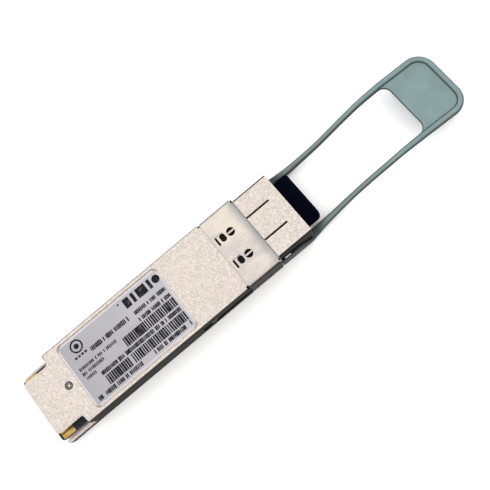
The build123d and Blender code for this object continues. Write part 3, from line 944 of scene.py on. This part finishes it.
class TRANSCEIVER_OT_label(PieceOperator, bpy.types.Operator):
    """Makes the label's film and its generic print: bars, strokes, a ring and a block mark"""

    bl_idname = "transceiver.label"
    bl_label = "Label"

    def make(self):
        label = settings("label")
        low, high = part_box("label")
        paint(label_film(), "label")
        ink = thermal_ink()
        top = high.z
        thick = label.ink_thickness

        def place(x, along):
            """A place on the label, in millimetres across from its middle and along from its rear edge."""
            return Vector((x * MM, high.y - along * MM, top))

        # Lines of print: near and far end along the label, middle across it, height, weight
        lines = (
            (18.5, 27.4, 2.95, 1.05, 1.1), (5.6, 16.9, 3.05, 1.25, 1.05), (18.5, 27.4, 1.15, 1.05, 1.1),
            (1.3, 11.8, 0.95, 0.85, 0.9), (1.2, 7.4, -0.3, 0.85, 0.9), (1.0, 4.4, -1.5, 0.8, 0.85),
            (4.9, 27.4, -2.75, 1.1, 1.15), (16.2, 27.4, -6.65, 1.1, 1.1), (0.9, 13.6, -6.7, 1.1, 1.1),
        )
        rows = []
        for number, (near, far, x, height, weight) in enumerate(lines):
            rows.append((place(x, far), False, {
                "Length": (far - near) * MM, "Height": height * MM, "Thickness": 2 * thick,
                "Pitch": label.stroke_pitch, "Thinnest": 0.55 * weight, "Thickest": 0.9 * weight,
                "Shortest": 0.75, "Gap Share": 0.16, "Seed": label.seed + 31 * number,
            }))
        # The two codes: near and far end along the label, middle across it, height
        codes = ((12.8, 27.5, -0.75, 2.25), (5.1, 27.5, -4.7, 2.25))
        for number, (near, far, x, height) in enumerate(codes):
            rows.append((place(x, far), False, {
                "Length": (far - near) * MM, "Height": height * MM, "Thickness": 2 * thick,
                "Pitch": label.bar_pitch, "Thinnest": 0.5, "Thickest": 1.05,
                "Shortest": 1.0, "Gap Share": 0.04, "Seed": label.seed + 400 + number,
            }))
        print_mesh = bar_rows("label_print", rows, ink)

        # A block mark of bars and a dot, a ring with a dot in it, a small dot and a row of dashes
        forms = []

        low_ink, high_ink = top - thick, top + thick

        def rounds(x, along, radius, steps):
            """(x, y) points round a circle."""
            centre = place(x, along)
            angles = [math.radians(360 * k / steps) for k in range(steps)]
            return [(centre.x + radius * MM * math.cos(a), centre.y + radius * MM * math.sin(a))
                    for a in angles]

        def disc(x, along, radius):
            forms.append(slab(rounds(x, along, radius, 40), low_ink, high_ink))

        def ring(x, along, radius, hole, steps=56):
            sides = zip(rounds(x, along, hole, steps), rounds(x, along, radius, steps))
            forms.append(shell([
                [Vector((*point, z)) for point, z in (
                    (inner, low_ink), (outer, low_ink), (outer, high_ink), (inner, high_ink)
                )]
                for inner, outer in sides
            ], closed=True))

        def bar(x, near, far, height):
            half = height / 2
            corners = (place(x - half, near), place(x - half, far), place(x + half, far), place(x + half, near))
            forms.append(slab([(c.x, c.y) for c in corners], low_ink, high_ink))

        for near, far in ((18.0, 19.6), (20.2, 21.0), (21.6, 24.2), (24.8, 25.6)):
            bar(5.95, near, far, 2.3)
        disc(5.95, 27.0, 0.95)
        ring(5.75, 4.0, 1.55, 1.17)
        disc(5.75, 4.0, 0.62)
        disc(6.9, 16.8, 0.22)
        for k in range(4):
            bar(3.55, 2.1 + 0.9 * k, 2.7 + 0.9 * k, 0.5)
        marks = joined(forms, "marks")
        form = bmesh.new()
        form.from_mesh(print_mesh)
        form.from_mesh(marks)
        form.to_mesh(print_mesh)
        form.free()
        bpy.data.meshes.remove(marks)
        add_piece("label_print", print_mesh, ink, "module", "label_film")


class TRANSCEIVER_OT_pull_tab(PieceOperator, bpy.types.Operator):
    """Makes the bowed pull tab with its rounded rim and finger pad"""

    bl_idname = "transceiver.pull_tab"
    bl_label = "Pull Tab"

    def make(self):
        add_piece("pull_tab_loop", tab_mesh(), tab_plastic(), "release", "tab_plastic", "pull_tab")


class TRANSCEIVER_OT_dust_plug(PieceOperator, bpy.types.Operator):
    """Makes the dust plug, with softened corners"""

    bl_idname = "transceiver.dust_plug"
    bl_label = "Dust Plug"

    def make(self):
        plastic = settings("plastic")
        outer_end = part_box("dust_plug")[0].y + 1.0 * MM
        form = merged("dust_plug")

        def grip_corner(edge):
            """The grip's upright edges at its outer end."""
            first, second = (vertex.co for vertex in edge.verts)
            upright = abs((first - second).normalized().z) > 0.7
            return upright and min(first.y, second.y) < outer_end and abs(first.x) > 5.0 * MM

        ease(form, GRIP_ROUND * MM, 5, 12.0, grip_corner)
        ease(form, PLUG_BREAK * MM)
        finish = moulded("plug_plastic", plastic.plug, 0.3, 0.45, 0.008, 0.25, gloss=0.0)
        add_piece("dust_plug_moulding", marked(form, "dust_plug"), finish, "plug", "plug_plastic", "dust_plug")


class TRANSCEIVER_OT_card(PieceOperator, bpy.types.Operator):
    """Finishes the circuit board, its contacts and its chips, and adds the pads round the chips"""

    bl_idname = "transceiver.card"
    bl_label = "Card"

    def make(self):
        plastic = settings("plastic")
        paint(self.solder_mask(plastic.board), "circuit_board")
        paint(gold_plate("contact_gold"), "edge_contacts_top", "edge_contacts_bottom")
        chips = ("laser_driver_chip", "clock_recovery_chip", "microcontroller_chip", "regulator_chip")
        paint(moulded("chip_epoxy", (0.022, 0.022, 0.024), 0.16, 0.5, 0.01), *chips)
        paint(moulded("inductor_ferrite", (0.09, 0.09, 0.095), 0.2, 0.6, 0.02), "power_inductors")
        paint(self.chip_ceramic(), "passive_components")
        pads = ("chip_thermal_pad", "optics_thermal_pad")
        paint(moulded("thermal_pad", (0.30, 0.34, 0.42), 0.35, 0.7, 0.03), *pads)
        rows = []
        pad = dict(Thickness=0.03 * MM, Pitch=0.5 * MM, Thinnest=0.5, Thickest=0.5, Height=0.45 * MM)
        for node in chips:
            low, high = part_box(node)
            for across in (False, True):
                side = 0 if across else 1
                other = 1 - side
                for edge in (low[other] - 0.1 * MM, high[other] + 0.1 * MM):
                    start = Vector((0, 0, low.z + 0.015 * MM))
                    start[side] = low[side] + 0.25 * MM
                    start[other] = edge
                    rows.append((start, across, {**pad, "Length": high[side] - low[side] - 0.5 * MM}))
        mesh = bar_rows("chip_pads", rows, None)
        tin = plain_steel("solder_tin", 1.1, (2.0, 2.0, 2.0), 0.3)
        add_piece("chip_pads", mesh, tin, "module", "contact_gold")

    def solder_mask(self, tone):
        """Dark solder mask with the faint relief and lighter tone of the traces under it."""
        made = Finish("solder_mask", specular_ior_level=0.2)
        weave = made.noise(0.18, 1.0)
        x = made.axis("X")
        traces = made.ease(abs((x / 0.8).part() - 0.5), 0.28, 0.33)
        lifted = [c * 1.7 + 0.004 for c in tone]
        return made.finish(
            base_color=made.blend(tone, lifted, traces * 0.8 + weave * 0.2),
            roughness=0.38 + weave * 0.12,
            normal=made.bump(traces + weave * 0.15, 0.015, 0.5),
        )

    def chip_ceramic(self):
        """Tan ceramic, finely mottled."""
        made = Finish("chip_ceramic")
        grain = made.noise(0.25)
        return made.finish(
            base_color=made.blend((0.22, 0.14, 0.08), (0.40, 0.29, 0.19), made.ease(grain, 0.35, 0.65)),
            roughness=0.45 + grain * 0.15,
            normal=made.bump(grain, 0.01, 0.4),
        )


class TRANSCEIVER_OT_optics(PieceOperator, bpy.types.Operator):
    """Finishes the optics: packages, barrels, sleeves, flexes, gasket, clamp and socket insert"""

    bl_idname = "transceiver.optics"
    bl_label = "Optics"

    def make(self):
        def both(part):
            return f"transmitter_{part}", f"receiver_{part}"

        paint(gold_plate("package_gold", 0.3), *both("package"))
        paint(plain_steel("barrel_steel", 1.0, (1.0, 10.0, 1.0)), *both("barrel"))
        paint(moulded("sleeve_ceramic", (0.86, 0.84, 0.78), 0.3, 0.2, 0.003, 0.04, coat=0.3),
              *both("sleeve"), *both("stub"))
        paint(self.flex_film(), *both("flex"))
        paint(moulded("gasket_foam", (0.07, 0.07, 0.073), 0.3, 0.8, 0.08, 0.3), "emi_gasket")
        paint(plain_steel("clamp_steel", 0.9, (8.0, 1.0, 1.0)), "optics_clamp")
        paint(moulded("socket_plastic", (0.012, 0.012, 0.014), 0.25, 0.4, 0.01, 0.2), "lc_receptacle")

    def flex_film(self):
        """Amber film over copper strips."""
        made = Finish("flex_film", coat_weight=0.4, coat_roughness=0.15)
        x = made.axis("X")
        strips = made.ease(abs((x / 0.5).part() - 0.5), 0.2, 0.26)
        wave = made.noise(1.2)
        return made.finish(
            base_color=made.blend((0.33, 0.13, 0.02), (0.62, 0.28, 0.06), strips * 0.7 + wave * 0.3),
            roughness=0.35 + wave * 0.1,
            normal=made.bump(strips, 0.01, 0.4),
        )


class TRANSCEIVER_OT_stage(PieceOperator, bpy.types.Operator):
    """Sets the pale floor, the soft light and the camera"""

    bl_idname = "transceiver.stage"
    bl_label = "Stage"

    def make(self):
        stage = settings("stage")
        scene = bpy.context.scene
        scene.view_settings.view_transform = "Standard"
        form = bmesh.new()
        bmesh.ops.create_grid(form, x_segments=8, y_segments=8, size=0.9)
        mesh = bpy.data.meshes.new("floor")
        form.to_mesh(mesh)
        form.free()
        mesh.transform(Matrix.Translation((0, 0, cad_box[0].z - 0.05 * MM)))
        floor = bpy.data.objects.new("floor", mesh)
        scene.collection.objects.link(floor)
        made = Finish("floor_paper", specular_ior_level=0.1)
        grain = made.noise(20.0)
        dim = scaled(stage.floor, 0.985)
        mesh.materials.append(made.finish(base_color=made.blend(dim, stage.floor, grain), roughness=0.9))
        floor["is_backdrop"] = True

        world = bpy.data.worlds.new("soft_studio")
        world.use_nodes = True
        backdrop = world.node_tree.nodes["Background"]
        backdrop.inputs["Color"].default_value = (1.0, 0.995, 0.985, 1.0)
        backdrop.inputs["Strength"].default_value = stage.sky
        scene.world = world
        for name, place, size, power in (
            ("key", (0.16, 0.14, 0.42), 0.60, stage.key), ("fill", (0.05, -0.25, 0.45), 0.4, stage.key * 0.3),
        ):
            lamp = bpy.data.lights.new(name, "AREA")
            lamp.energy = power
            lamp.size = size
            light = bpy.data.objects.new(name, lamp)
            light.location = place
            light.rotation_euler = Vector(place).to_track_quat("Z", "Y").to_euler()
            scene.collection.objects.link(light)

        lens = bpy.data.cameras.new("view")
        lens.lens = stage.lens
        lens.sensor_width = 36.0
        lens.clip_start = 0.005
        camera = bpy.data.objects.new("view", lens)
        camera.location = (-31.642 * MM, 0.995 * MM, 147.246 * MM)
        camera.rotation_euler = Euler([math.radians(a) for a in (9.714, 7.690, -129.344)])
        scene.collection.objects.link(camera)
        scene.camera = camera


OPERATORS = (
    TRANSCEIVER_OT_stage,
    TRANSCEIVER_OT_castings,
    TRANSCEIVER_OT_collar,
    TRANSCEIVER_OT_hardware,
    TRANSCEIVER_OT_label,
    TRANSCEIVER_OT_pull_tab,
    TRANSCEIVER_OT_dust_plug,
    TRANSCEIVER_OT_card,
    TRANSCEIVER_OT_optics,
)


class TRANSCEIVER_PT_sidebar(bpy.types.Panel):
    """Lists the module's pieces and their sizes and colours"""

    bl_idname = "TRANSCEIVER_PT_sidebar"
    bl_label = "Transceiver Module"
    bl_space_type = "VIEW_3D"
    bl_region_type = "UI"
    bl_category = "Transceiver"

    def draw(self, context):
        for operator in OPERATORS:
            self.layout.operator(operator.bl_idname)
        for attribute, group in GROUPS.items():
            box = self.layout.box()
            for name in group.__annotations__:
                box.prop(getattr(context.scene, attribute), name)


CLASSES = (*GROUPS.values(), *OPERATORS, TRANSCEIVER_PT_sidebar)


def register():
    for made in CLASSES:
        bpy.utils.register_class(made)
    for attribute, group in GROUPS.items():
        setattr(bpy.types.Scene, attribute, PointerProperty(type=group))


def unregister():
    for attribute in GROUPS:
        delattr(bpy.types.Scene, attribute)
    for made in reversed(CLASSES):
        bpy.utils.unregister_class(made)


def main():
    register()
    for operator in OPERATORS:
        call = operator.bl_idname.split(".")[1]
        getattr(bpy.ops.transceiver, call)()
    boxes = {"cad": cad_box, "visual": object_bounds()}
    sizes = {name: [list(corner) for corner in box] for name, box in boxes.items()}


if __name__ == "__main__":
    main()
